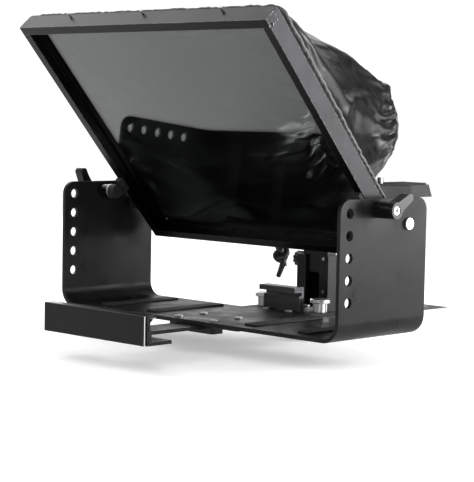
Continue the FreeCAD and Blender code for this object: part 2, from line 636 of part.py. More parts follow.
def hood():
    """Fabric tube with a wall of even thickness, open at the frame and at the lens."""
    outer = Part.makeLoft(hood_sections(0), True, True)
    bore = hood_sections(HOOD_WALL)
    lead_in, lead_out = bore[0].copy(), bore[-1].copy()
    lead_in.translate(HOOD_NORMAL * -1.0)
    lead_out.translate(Y_AXIS)
    return outer.cut(Part.makeLoft([lead_in] + bore + [lead_out], True, True))


def hood_hem():
    """Piped hem with the drawstring inside, round the frame's back edge."""
    n = FRAME_T + 3.9
    r = 1.7
    half, low, high, corner = FRAME_SIDE + 0.4, -0.6, FRAME_H - 2.0, 9.0
    y = n - PIVOT_N
    z0, z1 = low - PIVOT_V, high - PIVOT_V
    k = corner * (1 - math.sqrt(0.5))
    arcs = [((half - corner, z0), (half - k, z0 + k), (half, z0 + corner)),
            ((half, z1 - corner), (half - k, z1 - k), (half - corner, z1)),
            ((-half + corner, z1), (-half + k, z1 - k), (-half, z1 - corner)),
            ((-half, z0 + corner), (-half + k, z0 + k), (-half + corner, z0))]
    edges = []
    for number, (a, b, c) in enumerate(arcs):
        points = [Vector(x, y, z) for x, z in (a, b, c)]
        edges.append(Part.Arc(*points).toShape())
        nxt = arcs[(number + 1) % 4][0]
        edges.append(Part.makeLine(points[2], Vector(nxt[0], y, nxt[1])))
    path = Part.Wire(edges[1:] + edges[:1])
    return on_frame(path.makePipeShell([section_at(path, r)], True, False))


def section_at(path, radius):
    """Circle square to a closed path at its first point."""
    edge = path.OrderedEdges[0]
    first = edge.valueAt(edge.FirstParameter)
    return Part.Wire([Part.makeCircle(radius, first, edge.tangentAt(edge.FirstParameter))])


def drawstring_knot():
    """Gathered end of the hem, the knot under it and the drawstring's two tails."""
    base = Vector(0, PIVOT_Y + 33.5, 85.0)
    neck = Part.makeCone(4.2, 3.2, 14, base + Vector(-9, 0, 6.5), Vector(0.62, 0.02, -0.78))
    knot = Part.makeSphere(6.2, base + Vector(0.5, 0, -9))
    lobe = Part.makeSphere(4.6, base + Vector(4.6, 0.5, -6.5))
    low_lobe = Part.makeSphere(4.8, base + Vector(-3.4, -0.5, -6.0))
    tail = Part.makeCone(3.0, 2.4, 20, base + Vector(0.4, 0, -12), Vector(-0.10, 0.04, -1))
    short_tail = Part.makeCone(1.9, 1.5, 12, base + Vector(3.2, 1.0, -11), Vector(0.12, 0.2, -1))
    body = knot
    for piece in (lobe, low_lobe, neck, tail, short_tail):
        body = body.fuse(piece)
    return body.removeSplitter()


# ---- camera riser ----
def riser_base():
    """Upright channel, open at the front between two lips, on a foot that runs back along the rail."""
    half = RAIL_W / 2
    post = box(-half, half, RISER_FRONT, RISER_REAR, CROSS_Z, RISER_TOP)
    cavity = box(-half + RISER_WALL, half - RISER_WALL, RISER_FRONT + 3, RISER_REAR - RISER_WALL,
                 FOOT_TOP, RISER_TOP + 1)
    mouth = box(-half + RISER_LIP, half - RISER_LIP, RISER_FRONT - 1, RISER_FRONT + 4, FOOT_TOP, RISER_TOP + 1)
    foot = rounded(box(-half, half, RISER_FRONT, 66, CROSS_Z, FOOT_TOP), 2, Z_AXIS)
    body = post.cut(cavity).cut(mouth).fuse(foot).removeSplitter()
    body = body.cut(cyl(Z_AXIS, CROSS_Z - 1, FOOT_TOP + 1, 0, CARRIAGE_BOLT_Y, 3.05))
    return body.cut(cyl(X_AXIS, -half - 1, -half + RISER_WALL + 1, KNOB_Y, KNOB_Z, 2.55))


def riser_screws():
    """Set screws in the channel's right lip that take up the column's play."""
    screws = []
    for z in (RISER_TOP - 2.6, RISER_TOP - 32.6):
        screws.append(cyl(Y_AXIS, RISER_FRONT - 0.8, RISER_FRONT, 13.5, z, 1.4))
    return group(screws)


def riser_column():
    """Flat bar that slides up and down in the channel."""
    bar = box(-14.8, 14.8, RISER_FRONT + 3.2, RISER_REAR - 4.2, COLUMN_FOOT, 106)
    bar = rounded(bar, 1, Z_AXIS)
    for x in (-8.0, 8.0):
        bar = bar.cut(cyl(Z_AXIS, 96, 107, x, RISER_FRONT + 9.5, 2.0))
    return bar


def camera_bracket():
    """Channel that carries the camera sled behind the column, with gusset sides."""
    half = RAIL_W / 2
    outline = [(0, 106.05), (20, 106.05), (20, 88), (BRACKET_REAR - 4, 116), (BRACKET_REAR, 120),
               (BRACKET_REAR, BRACKET_TOP), (50, BRACKET_TOP), (21, 112), (0, 112)]
    body = profile_x(outline, -half, half)
    body = body.cut(box(-half + 3, half - 3, SLED_FRONT - 1.5, BRACKET_REAR + 1, SLED_Z - 0.2, BRACKET_TOP + 1))
    under = profile_x([(24, 80), (24, 103), (52, 119), (BRACKET_REAR + 2, 119), (BRACKET_REAR + 2, 80)],
                      -half + 3, half - 3)
    body = body.cut(under)
    body = body.cut(slot(0, 62, 112, 115, SLED_Z + 1, 9.5))
    for x in (-8.0, 8.0):
        body = body.cut(cyl(Z_AXIS, 105, 113, x, RISER_FRONT + 9.5, 2.1))
    return body.cut(cyl(X_AXIS, -half - 1, -half + 4, SLED_KNOB_Y, SLED_KNOB_Z, 2.55))


def bracket_screws():
    screws = []
    for x in (-8.0, 8.0):
        y = RISER_FRONT + 9.5
        screw = cyl(Z_AXIS, 112, 114, x, y, 3.6).fuse(cyl(Z_AXIS, 97, 112, x, y, 1.95)).removeSplitter()
        screws.append(screw.cut(hex_socket(x, y, 112.8, 115, 1.25)))
    return group(screws)


def camera_sled():
    """Slotted plate that slides in the bracket, with a sloping rear end."""
    top = SLED_TOP
    outline = [(SLED_FRONT, SLED_Z), (SLED_REAR, SLED_Z), (SLED_REAR - 5.4, top), (SLED_FRONT, top)]
    body = profile_x(outline, -15.6, 15.6)
    body = body.cut(slot(0, CAMERA_Y - 24, CAMERA_Y + 20, SLED_Z - 1, top + 1, SLOT_HALF))
    return body.cut(slot(0, CAMERA_Y - 29.5, CAMERA_Y + 25.5, SLED_Z - 1, SLED_Z + 6, 8.8))


def sled_pad():
    """Ribbed rubber pad under the camera."""
    pad = rounded(box(-15, 15, SLED_FRONT + 1, SLED_REAR - 8, SLED_TOP, CAMERA_SEAT_Z), 2, Z_AXIS)
    pad = pad.cut(slot(0, CAMERA_Y - 26, CAMERA_Y + 22, SLED_TOP - 1, CAMERA_SEAT_Z + 1, 5.0))
    for k in range(PAD_GROOVES):
        y = SLED_FRONT + 5 + PAD_GROOVE_PITCH * k
        pad = pad.cut(box(-16, 16, y, y + 1.2, CAMERA_SEAT_Z - 0.7, CAMERA_SEAT_Z + 1))
    return pad


def screw_washer():
    return tube(Z_AXIS, SLED_Z + 4.9, SLED_Z + 5.9, 0, CAMERA_Y, 8.0, 3.25)


def camera_screw():
    """Quarter-inch camera screw with a coin slot in its knurled head."""
    head = knurled(Z_AXIS, SLED_Z + 0.3, SLED_Z + 4.8, 0, CAMERA_Y, 8.2, 24, 0.5)
    head = head.cut(box(-9, 9, CAMERA_Y - 0.9, CAMERA_Y + 0.9, SLED_Z, SLED_Z + 2.2))
    neck = cyl(Z_AXIS, SLED_Z + 4, CAMERA_SEAT_Z + 0.5, 0, CAMERA_Y, 2.9)
    thread = cyl(Z_AXIS, CAMERA_SEAT_Z, CAMERA_SEAT_Z + CAMERA_THREAD, 0, CAMERA_Y, CAMERA_THREAD_R)
    return head.fuse(neck).fuse(thread).removeSplitter()


# ---- parts list ----
def all_parts():
    parts = {
        "u_bracket": u_bracket(), "bed_pads": bed_pads(), "cross_block": cross_block(),
        "base_rail": base_rail(), "base_screws": base_screws(), "tripod_block": tripod_block(),
        "tripod_insert": tripod_insert(), "floor_screws": floor_screws(), "rear_stop": rear_stop(),
        "rear_stop_screws": rear_stop_screws(), "guide_blocks": guide_blocks(),
        "pivot_screws": pivot_screws(), "pivot_spacers": pivot_spacers(), "stop_posts": stop_posts(),
        "stop_washers": stop_washers(), "stop_bumpers": stop_bumpers(),
        "clip_channel": clip_channel(), "clip_face": clip_face(), "clip_liner": clip_liner(),
        "clip_leaf": clip_leaf(), "clip_bar": clip_bar(), "clip_screws": clip_screws(),
        "clip_plunger": clip_plunger(),
        "frame_left_rail": frame_side_rail(-1), "frame_right_rail": frame_side_rail(1),
        "frame_top_rail": frame_cross_rail(True), "frame_bottom_rail": frame_cross_rail(False),
        "glass": glass(), "glass_gasket": glass_gasket(), "velcro_strips": velcro_strips(),
        "frame_bushes": frame_bushes(), "stop_pads": stop_pads(), "hood_studs": hood_studs(),
        "hood": hood(), "hood_hem": hood_hem(), "drawstring_knot": drawstring_knot(),
        "riser_base": riser_base(), "riser_screws": riser_screws(), "rail_lock_knob": rail_lock_knob(),
        "riser_column": riser_column(), "camera_bracket": camera_bracket(),
        "bracket_screws": bracket_screws(),
        "height_lock_knob": side_knob(KNOB_Y, KNOB_Z, RAIL_W / 2, 15.1, 7.2),
        "sled_lock_knob": side_knob(SLED_KNOB_Y, SLED_KNOB_Z, RAIL_W / 2, 15.9, 7.2),
        "camera_sled": camera_sled(), "sled_pad": sled_pad(), "screw_washer": screw_washer(),
        "camera_screw": camera_screw(),
    }
    for name in SIDES:
        parts["lever_%s_handle" % name] = lever_handle(name)
        parts["lever_%s_screw" % name] = lever_screw(name)
        parts["lever_%s_stud" % name] = lever_stud(name)
    for name, (x, y) in zip(("left", "right"), THUMB_SPOTS):
        parts["thumbscrew_%s" % name] = thumbscrew(x, y)
    return parts


def main():
    os.makedirs("parts", exist_ok=True)
    for node, shape in all_parts().items():
        shape.exportStep("parts/%s.step" % node)
        print("%-20s solids %d valid %s volume %.0f" % (node, len(shape.Solids), shape.isValid(), shape.Volume))


main()
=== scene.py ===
import json
import math

import bmesh
import bpy
from mathutils import Matrix, Vector, noise


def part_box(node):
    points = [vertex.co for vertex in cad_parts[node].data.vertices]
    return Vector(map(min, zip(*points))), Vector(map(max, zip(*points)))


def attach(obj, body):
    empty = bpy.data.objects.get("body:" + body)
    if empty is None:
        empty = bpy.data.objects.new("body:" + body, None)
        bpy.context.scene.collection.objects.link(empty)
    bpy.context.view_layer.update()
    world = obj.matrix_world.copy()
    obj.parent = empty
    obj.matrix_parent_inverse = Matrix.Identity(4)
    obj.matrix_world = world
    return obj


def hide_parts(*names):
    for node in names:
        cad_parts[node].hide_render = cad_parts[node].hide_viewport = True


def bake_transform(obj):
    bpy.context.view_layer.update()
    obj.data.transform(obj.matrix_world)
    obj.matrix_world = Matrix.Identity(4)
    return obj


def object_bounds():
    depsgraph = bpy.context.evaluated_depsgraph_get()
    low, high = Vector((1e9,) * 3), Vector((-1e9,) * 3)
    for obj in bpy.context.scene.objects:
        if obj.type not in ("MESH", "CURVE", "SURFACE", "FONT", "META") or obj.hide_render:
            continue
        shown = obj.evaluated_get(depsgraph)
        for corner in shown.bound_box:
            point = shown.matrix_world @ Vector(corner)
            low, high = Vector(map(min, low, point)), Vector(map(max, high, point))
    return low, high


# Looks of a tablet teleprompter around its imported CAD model. Metres, +Z up, +Y back towards the camera
# that looks through the glass, X across.

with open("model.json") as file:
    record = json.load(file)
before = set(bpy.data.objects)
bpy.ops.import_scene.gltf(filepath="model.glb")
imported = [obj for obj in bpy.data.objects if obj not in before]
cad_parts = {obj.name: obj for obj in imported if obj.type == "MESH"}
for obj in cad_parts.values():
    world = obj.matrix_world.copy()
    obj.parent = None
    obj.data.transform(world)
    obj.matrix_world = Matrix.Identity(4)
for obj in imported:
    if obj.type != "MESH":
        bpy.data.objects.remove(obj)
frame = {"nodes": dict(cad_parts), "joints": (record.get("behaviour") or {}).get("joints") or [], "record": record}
NODES = frame["nodes"]
CAD_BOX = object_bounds()
JOINTS = {joint["name"]: joint for joint in frame["joints"]}

MILLIMETRE = 0.001

# ---- photograph's viewpoint ----
VIEW_AZIMUTH = math.radians(44.2)
VIEW_ELEVATION = math.radians(4.48)
VIEW_ROLL = math.radians(1.08)
VIEW_DISTANCE = 1.3725
VIEW_TARGET = Vector((0.05575, -0.159, 0.09526))
LENS_MM = 124.6

# ---- studio: name, place, aim, size and radiance of each soft box ----
STAGE_GLOW = 0.31
SOFT_BOXES = [
    ("side_box", (0.88, 0.68, 0.33), (0.15, -0.10, 0.13), (0.70, 0.60), 15.0),
    ("rear_box", (-0.36, 0.78, 0.66), (0.08, -0.10, 0.25), (0.30, 0.26), 2.2),
    ("top_box", (-0.95, -0.25, 1.45), (0.0, -0.15, 0.15), (1.0, 1.0), 2.6),
    ("key_box", (1.1, -1.5, 1.7), (0.0, -0.1, 0.1), (1.2, 1.2), 2.4),
    ("left_box", (-1.5, 0.5, 0.7), (0.0, 0.0, 0.12), (0.9, 0.9), 2.4),
]
# a black card behind the hood, where the photographer's camera stands, that only reflections see
FLAG_CENTRE, FLAG_SIZE = (-0.05, 0.86, 0.36), (1.10, 0.94)

# ---- hood: a skin from the frame (share 0) to the lens (share 1), as the CAD model shapes it ----
HOOD_SQUARE = 20.0          # exponent of its rounded rectangle at the frame; an exponent of 2 is a circle
ROUND_SHARE, ROUND_POWER = 3.03, 2.2    # the section is round beyond the share 1 / 3.03
WIDTH_TAPER, HEIGHT_TAPER, LEAN_TAPER = 1.27, 0.858, 1.2    # above 1 the width, height or lean goes early
HOOD_RISE = 0.0042          # how far its centre line bows up
HOOD_FULL_H = 0.0025        # fullness of its half height
HOOD_INSET = 0.0006         # the cloth's outer face lies this far inside the skin
HOOD_WALL = 0.0006
LENS_CENTRE = Vector((0.0, 0.052, 0.1905))
LENS_R = 0.0485
CUFF_CENTRE = Vector((0.0, 0.059, 0.189))
CUFF_R = 0.041
CUFF_DEPTH = 0.005
HOOD_AROUND = 240           # points round the hood
HOOD_ROWS, CUFF_ROWS = 67, 5
UV_RADIUS, UV_LENGTH, UV_CUFF = 0.09, 0.28, 0.012   # mean radius and lengths of the cloth, for its UV map

# cloth simulation of the hood
CLOTH_STEPS = 24
HOOD_SHIFT_CAP = 0.007                      # how far it may move a point
OUTWARD_DAMP, INWARD_DAMP = 0.6, 0.45       # share that is taken back of a move off the skin
HELD_FRAME_ROWS, HELD_CUFF_ROWS = 2, 4      # rows that don't move
HELD_NEAR_FRAME, HELD_SHARE = 0.35, 0.10    # hold on the rows next to the frame, and the share it fades over

# strip inside the hood's lower edge: its reach, its range of angles, its rows and its gap to the skin
SKIRT_END = 0.22
SKIRT_FIRST, SKIRT_LAST, SKIRT_ROWS = 220, 320, 8
SKIRT_INSET, SKIRT_EXTRA_INSET, SKIRT_WALL = 0.0012, 0.0025, 0.0005

# seams of the right side, as share of the way and angle in degrees; the left side has them too
SEAMS = [
    [(0.0, 45), (0.5, 50), (0.6, 39), (0.73, 26), (1.0, 18)],
    [(0.0, -45), (1.0, -40)],
]
SEAM_HEIGHT, SEAM_HALF_WIDTH, SEAM_GROOVE_OFF = 0.0007, 1.1, 2.6     # metres, and degrees at the frame

GATHER_HEIGHT, WAVE_HEIGHT = 0.0042, 0.0035     # of the small gathers at the lens and of the slow waves

# creases of the right side: share of the way and angle in degrees along each one, half width in degrees and
# height in mm. The left side has them a little wider and lower, and turned by up to CREASE_TURN degrees.
CREASE_TURN, CREASE_WIDEN, CREASE_LOWER = 5, 1.1, 0.9
CREASES = [
    ([(0.02, 43), (0.12, 28), (0.30, 15), (0.50, 10), (0.85, 7)], 5.0, 4.5),
    ([(0.06, -6), (0.20, 5), (0.30, 11), (0.45, 17), (0.80, 24)], 4.0, 3.5),
    ([(0.30, 2), (0.55, -3), (0.85, -4)], 9.0, -7.0),
    ([(0.25, -24), (0.55, -20), (0.95, -24)], 7.0, 4.0),
    ([(0.10, -40), (0.45, -38), (0.90, -47)], 6.0, 4.0),
    ([(0.05, 50), (0.45, 54), (0.80, 50), (1.00, 42)], 9.0, 7.0),
    ([(-0.13, 44), (0.15, 46), (0.45, 50)], 11.0, 2.0),
    ([(0.30, 84), (0.60, 72), (0.95, 74), (1.20, 74)], 16.0, 8.0),
    ([(0.10, 100), (0.50, 98), (1.00, 96)], 7.0, -4.0),
    ([(0.66, 19), (0.84, 15), (1.00, 16)], 2.6, 3.0),
    ([(0.72, 12), (0.86, 8), (1.00, 9)], 2.2, -3.0),
    ([(0.70, 3), (0.85, 4), (1.00, 1)], 2.6, 3.0),
    ([(0.78, -10), (0.90, -7), (1.00, -9)], 2.4, 2.6),
    ([(0.74, -17), (0.88, -15), (1.00, -18)], 2.4, -2.8),
    ([(0.76, -32), (0.90, -34), (1.00, -31)], 3.0, 2.8),
    ([(0.80, 28), (1.00, 30)], 2.6, -2.6),
    ([(0.78, 58), (1.00, 55)], 3.0, 2.6),
    ([(0.80, 80), (1.00, 84)], 3.0, -2.4),
    ([(0.80, -62), (1.00, -60)], 3.2, 2.6),
    ([(0.75, -80), (1.00, -84)], 4.0, -2.6),
    ([(0.38, -90), (0.70, -88), (1.00, -88)], 27.0, -8.0),      # the underside passes over the camera bracket
]


# ---- the leaning frame's own axes, read from the glass ----
def glass_normal():
    """Normal of the glass plate, towards the back."""
    total = Vector((0, 0, 0))
    for face in NODES["glass"].data.polygons:
        if face.normal.y > 0.3:
            total += face.normal * face.area
    return total.normalized()


BACK = glass_normal()
UP = BACK.cross(Vector((1, 0, 0))).normalized()
UP = UP if UP.z > 0 else -UP
PIVOT = Vector(JOINTS["frame_tilt"]["pos_m"])


def spans(name):
    """Lowest and highest place of a node across the frame, up it and behind it (u, v, n), from the pivot."""
    points = [vertex.co - PIVOT for vertex in NODES[name].data.vertices]
    found = []
    for axis in (Vector((1, 0, 0)), UP, BACK):
        values = [p.dot(axis) for p in points]
        found.append((min(values), max(values)))
    return found


def on_frame(u, v, n):
    """Point at a place across the frame, up it and behind it."""
    return PIVOT + Vector((u, 0, 0)) + UP * v + BACK * n


# ---- camera, stage and lights ----
def make_camera():
    """Camera on a sphere round its target, rolled about its own axis."""
    a, e, r = VIEW_AZIMUTH, VIEW_ELEVATION, VIEW_ROLL
    back = Vector((math.sin(a) * math.cos(e), -math.cos(a) * math.cos(e), math.sin(e)))
    right = Vector((math.cos(a), math.sin(a), 0))
    up = back.cross(right)
    rolled_right = right * math.cos(r) + up * math.sin(r)
    rolled_up = up * math.cos(r) - right * math.sin(r)
    turn = Matrix((rolled_right, rolled_up, back)).transposed().to_4x4()
    data = bpy.data.cameras.new("camera")
    data.lens = LENS_MM
    data.sensor_width = 36.0
    data.clip_start, data.clip_end = 0.01, 50.0
    camera = bpy.data.objects.new("camera", data)
    camera.matrix_world = Matrix.Translation(VIEW_TARGET + back * VIEW_DISTANCE) @ turn
    bpy.context.scene.collection.objects.link(camera)
    bpy.context.scene.camera = camera


def area_light(name, place, aim, size, radiance):
    """Soft box that sends the given radiance towards its aim."""
    data = bpy.data.lights.new(name, "AREA")
    data.shape = "RECTANGLE"
    data.size, data.size_y = size
    data.energy = radiance * math.pi * size[0] * size[1]
    lamp = bpy.data.objects.new(name, data)
    lamp.location = place
    lamp.rotation_euler = (Vector(aim) - Vector(place)).to_track_quat("-Z", "Y").to_euler()
    lamp.visible_camera = False
    bpy.context.scene.collection.objects.link(lamp)


def make_stage():
    """Pale floor that curves up into a wall all round, far from the object."""
    floor_z = CAD_BOX[0][2]
    flat_r, bend_r, wall_h, steps, turns = 2.6, 0.9, 2.6, 12, 72
    outline = [(0.001, 0.0), (flat_r, 0.0)]
    for k in range(1, steps + 1):
        angle = math.pi / 2 * k / steps
        outline.append((flat_r + bend_r * math.sin(angle), bend_r * (1 - math.cos(angle))))
    outline.append((flat_r + bend_r, wall_h))
    mesh = bmesh.new()
    rings = []
    for radius, height in outline:
        ring = []
        for k in range(turns):
            angle = 2 * math.pi * k / turns
            place = (radius * math.cos(angle), radius * math.sin(angle), floor_z + height)
            ring.append(mesh.verts.new(place))
        rings.append(ring)
    for low, high in zip(rings, rings[1:]):
        for k in range(turns):
            mesh.faces.new((low[k], low[(k + 1) % turns], high[(k + 1) % turns], high[k]))
    data = bpy.data.meshes.new("stage_floor")
    mesh.to_mesh(data)
    mesh.free()
    data.shade_smooth()
    floor = bpy.data.objects.new("stage_floor", data)
    bpy.context.scene.collection.objects.link(floor)
    material = bpy.data.materials.new("stage_paper")
    material.use_nodes = True
    shader = material.node_tree.nodes["Principled BSDF"]
    shader.inputs["Base Color"].default_value = (0.93, 0.93, 0.93, 1)
    shader.inputs["Roughness"].default_value = 0.9
    shader.inputs["Specular IOR Level"].default_value = 0.1
    shader.inputs["Emission Color"].default_value = (1, 1, 1, 1)
    shader.inputs["Emission Strength"].default_value = STAGE_GLOW
    data.materials.append(material)


def make_flag():
    """The black card, which reflections see and the camera, shadows and diffuse light don't."""
    half_w, half_h = FLAG_SIZE[0] / 2, FLAG_SIZE[1] / 2
    corners = [(-half_w, 0, -half_h), (half_w, 0, -half_h), (half_w, 0, half_h), (-half_w, 0, half_h)]
    data = bpy.data.meshes.new("rear_flag")
    data.from_pydata([tuple(Vector(FLAG_CENTRE) + Vector(c)) for c in corners], [], [(0, 1, 2, 3)])
    material = bpy.data.materials.new("flag_cloth")
    material.use_nodes = True
    shader = material.node_tree.nodes["Principled BSDF"]
    shader.inputs["Base Color"].default_value = (0.01, 0.01, 0.01, 1)
    shader.inputs["Specular IOR Level"].default_value = 0.0
    data.materials.append(material)
    flag = bpy.data.objects.new("rear_flag", data)
    bpy.context.scene.collection.objects.link(flag)
    flag.visible_camera = flag.visible_diffuse = flag.visible_shadow = flag.visible_transmission = False


def make_lights():
    """Even studio light from all round, and the soft boxes."""
    world = bpy.data.worlds.new("studio")
    world.use_nodes = True
    sky = world.node_tree.nodes["Background"]
    sky.inputs["Color"].default_value = (1, 1, 1, 1)
    sky.inputs["Strength"].default_value = 0.3
    bpy.context.scene.world = world
    bpy.context.scene.view_settings.view_transform = "Standard"
    for name, place, aim, size, radiance in SOFT_BOXES:
        area_light(name, place, aim, size, radiance)


# ---- materials ----
WAVE_SCALE = 0.31416        # scale of a wave texture that repeats once in a metre
CRUMPLE_TO_WEAVE = 5.0      # height of the crumple in heights of the weave


def node(tree, kind, **values):
    """Adds a shader node with the given settings."""
    made = tree.nodes.new(kind)
    for name, value in values.items():
        setattr(made, name, value)
    return made


def noise_node(tree, coords, scale, stretch=(1, 1, 1), detail=3.0):
    """Noise in the object's metres; stretch multiplies each axis's frequency."""
    mapping = node(tree, "ShaderNodeMapping")
    mapping.inputs["Scale"].default_value = tuple(scale * s for s in stretch)
    tree.links.new(coords, mapping.inputs["Vector"])
    texture = node(tree, "ShaderNodeTexNoise")
    texture.inputs["Scale"].default_value = 1.0
    texture.inputs["Detail"].default_value = detail
    tree.links.new(mapping.outputs["Vector"], texture.inputs["Vector"])
    return texture.outputs["Fac"]


def remap(tree, value, low, high, to_low, to_high):
    """Maps a value's range to another one, and keeps it inside."""
    made = node(tree, "ShaderNodeMapRange")
    for name, number in (("From Min", low), ("From Max", high), ("To Min", to_low), ("To Max", to_high)):
        made.inputs[name].default_value = number
    tree.links.new(value, made.inputs["Value"])
    return made.outputs["Result"]


def mix_colours(tree, factor, first, second):
    """Mix of two colours, each a tuple or a socket."""
    made = node(tree, "ShaderNodeMix", data_type="RGBA")
    tree.links.new(factor, made.inputs["Factor"])
    for socket, colour in ((made.inputs[6], first), (made.inputs[7], second)):
        if isinstance(colour, tuple):
            socket.default_value = colour + (1,)
        else:
            tree.links.new(colour, socket)
    return made.outputs[2]


def shade(colour, factor):
    """The colour made darker or lighter."""
    return tuple(min(1.0, c * factor) for c in colour)


def new_material(name):
    material = bpy.data.materials.new(name)
    material.use_nodes = True
    tree = material.node_tree
    return material, tree, tree.nodes["Principled BSDF"]


def edge_mask(tree, coords, radius):
    """Near 1 along sharp edges, broken up by noise."""
    bevel = node(tree, "ShaderNodeBevel", samples=4)
    bevel.inputs["Radius"].default_value = radius
    geometry = node(tree, "ShaderNodeNewGeometry")
    dot = node(tree, "ShaderNodeVectorMath", operation="DOT_PRODUCT")
    tree.links.new(bevel.outputs["Normal"], dot.inputs[0])
    tree.links.new(geometry.outputs["Normal"], dot.inputs[1])
    edge = remap(tree, dot.outputs["Value"], 0.99, 0.86, 0.0, 1.0)
    patch = remap(tree, noise_node(tree, coords, 420, detail=4.0), 0.42, 0.62, 0.0, 1.0)
    both = node(tree, "ShaderNodeMath", operation="MULTIPLY")
    tree.links.new(edge, both.inputs[0])
    tree.links.new(patch, both.inputs[1])
    return both.outputs["Value"]


def side_mask(tree):
    """1 on faces that look along X, 0 elsewhere."""
    geometry = node(tree, "ShaderNodeNewGeometry")
    parts = node(tree, "ShaderNodeSeparateXYZ")
    tree.links.new(geometry.outputs["Normal"], parts.inputs["Vector"])
    size = node(tree, "ShaderNodeMath", operation="ABSOLUTE")
    tree.links.new(parts.outputs["X"], size.inputs[0])
    return remap(tree, size.outputs["Value"], 0.50, 0.62, 0.0, 1.0)


def surface(name, colour, roughness, metallic=0.0, grain=900, stretch=(1, 1, 1), depth=0.00003, mottle=0.12,
            spread=0.06, wear=None, specular=0.5, coat=0.0, streak=0.0, bare_ends=None):
    """Hard finish: tiny grain as bump, uneven colour and gloss, worn edges where wear gives their colour, and
    bare metal on the cut ends that face sideways where bare_ends gives its colour."""
    material, tree, shader = new_material(name)
    coords = node(tree, "ShaderNodeTexCoord").outputs["Object"]
    fine = noise_node(tree, coords, grain, stretch, 4.0)
    broad = noise_node(tree, coords, 38, detail=5.0)
    blend_value = broad
    if streak:
        made = node(tree, "ShaderNodeMath", operation="MULTIPLY_ADD")
        made.inputs[1].default_value = streak
        tree.links.new(fine, made.inputs[0])
        tree.links.new(broad, made.inputs[2])
        blend_value = made.outputs["Value"]
    tint = remap(tree, blend_value, 0.3, 0.7 + streak, 0.0, 1.0)
    base = mix_colours(tree, tint, shade(colour, 1 - mottle), shade(colour, 1 + mottle))
    if wear:
        base = mix_colours(tree, edge_mask(tree, coords, 0.0007), base, wear)
    if bare_ends:
        ends = side_mask(tree)
        base = mix_colours(tree, ends, base, bare_ends)
        tree.links.new(ends, shader.inputs["Metallic"])
    tree.links.new(base, shader.inputs["Base Color"])
    gloss = remap(tree, blend_value, 0.3, 0.7 + streak, roughness - spread, roughness + spread)
    tree.links.new(gloss, shader.inputs["Roughness"])
    shader.inputs["Metallic"].default_value = metallic
    shader.inputs["Specular IOR Level"].default_value = specular
    shader.inputs["Coat Weight"].default_value = coat
    shader.inputs["Coat Roughness"].default_value = 0.12
    bump = node(tree, "ShaderNodeBump")
    bump.inputs["Strength"].default_value = 0.6
    bump.inputs["Distance"].default_value = depth
    tree.links.new(fine, bump.inputs["Height"])
    tree.links.new(bump.outputs["Normal"], shader.inputs["Normal"])
    return material


def cloth(name, colour, roughness, thread, depth, sheen, specular=0.5):
    """Woven cloth: two crossed sets of threads over the UV map, which is in metres, and a fine crumple."""
    material, tree, shader = new_material(name)
    coords = node(tree, "ShaderNodeTexCoord")
    uv = coords.outputs["UV"]
    waves = []
    for direction in ("X", "Y"):
        wave = node(tree, "ShaderNodeTexWave", wave_type="BANDS", bands_direction=direction)
        wave.inputs["Scale"].default_value = WAVE_SCALE / thread
        wave.inputs["Distortion"].default_value = 0.4
        tree.links.new(uv, wave.inputs["Vector"])
        waves.append(wave.outputs["Fac"])
    weave = node(tree, "ShaderNodeMath", operation="MULTIPLY")
    tree.links.new(waves[0], weave.inputs[0])
    tree.links.new(waves[1], weave.inputs[1])
    crumple = noise_node(tree, coords.outputs["Object"], 95, detail=5.0)
    height = node(tree, "ShaderNodeMath", operation="MULTIPLY_ADD")
    height.inputs[1].default_value = CRUMPLE_TO_WEAVE
    tree.links.new(crumple, height.inputs[0])
    tree.links.new(weave.outputs["Value"], height.inputs[2])
    tint = remap(tree, crumple, 0.3, 0.7, 0.0, 1.0)
    base = mix_colours(tree, tint, shade(colour, 0.75), shade(colour, 1.3))
    threads = remap(tree, weave.outputs["Value"], 0.0, 1.0, 0.0, 0.35)
    base = mix_colours(tree, threads, base, shade(colour, 0.4))
    tree.links.new(base, shader.inputs["Base Color"])
    gloss = remap(tree, crumple, 0.3, 0.7, roughness - 0.05, roughness + 0.07)
    tree.links.new(gloss, shader.inputs["Roughness"])
    shader.inputs["Sheen Weight"].default_value = sheen
    shader.inputs["Sheen Roughness"].default_value = 0.4
    shader.inputs["Specular IOR Level"].default_value = specular
    bump = node(tree, "ShaderNodeBump")
    bump.inputs["Strength"].default_value = 0.7
    bump.inputs["Distance"].default_value = depth
    tree.links.new(height.outputs["Value"], bump.inputs["Height"])
    tree.links.new(bump.outputs["Normal"], shader.inputs["Normal"])
    return material


def coated_glass():
    """Clear plate with faint smears; the real plate's part-mirror coating is not drawn."""
    material, tree, shader = new_material("coated_glass")
    coords = node(tree, "ShaderNodeTexCoord").outputs["Object"]
    smear = noise_node(tree, coords, 16, (1, 0.4, 0.4), 6.0)
    tint = remap(tree, smear, 0.3, 0.8, 0.0, 1.0)
    base = mix_colours(tree, tint, (0.58, 0.61, 0.61), (0.54, 0.57, 0.575))
    tree.links.new(base, shader.inputs["Base Color"])
    shader.inputs["Roughness"].default_value = 0.0
    shader.inputs["Transmission Weight"].default_value = 1.0
    shader.inputs["IOR"].default_value = 1.52
    return material


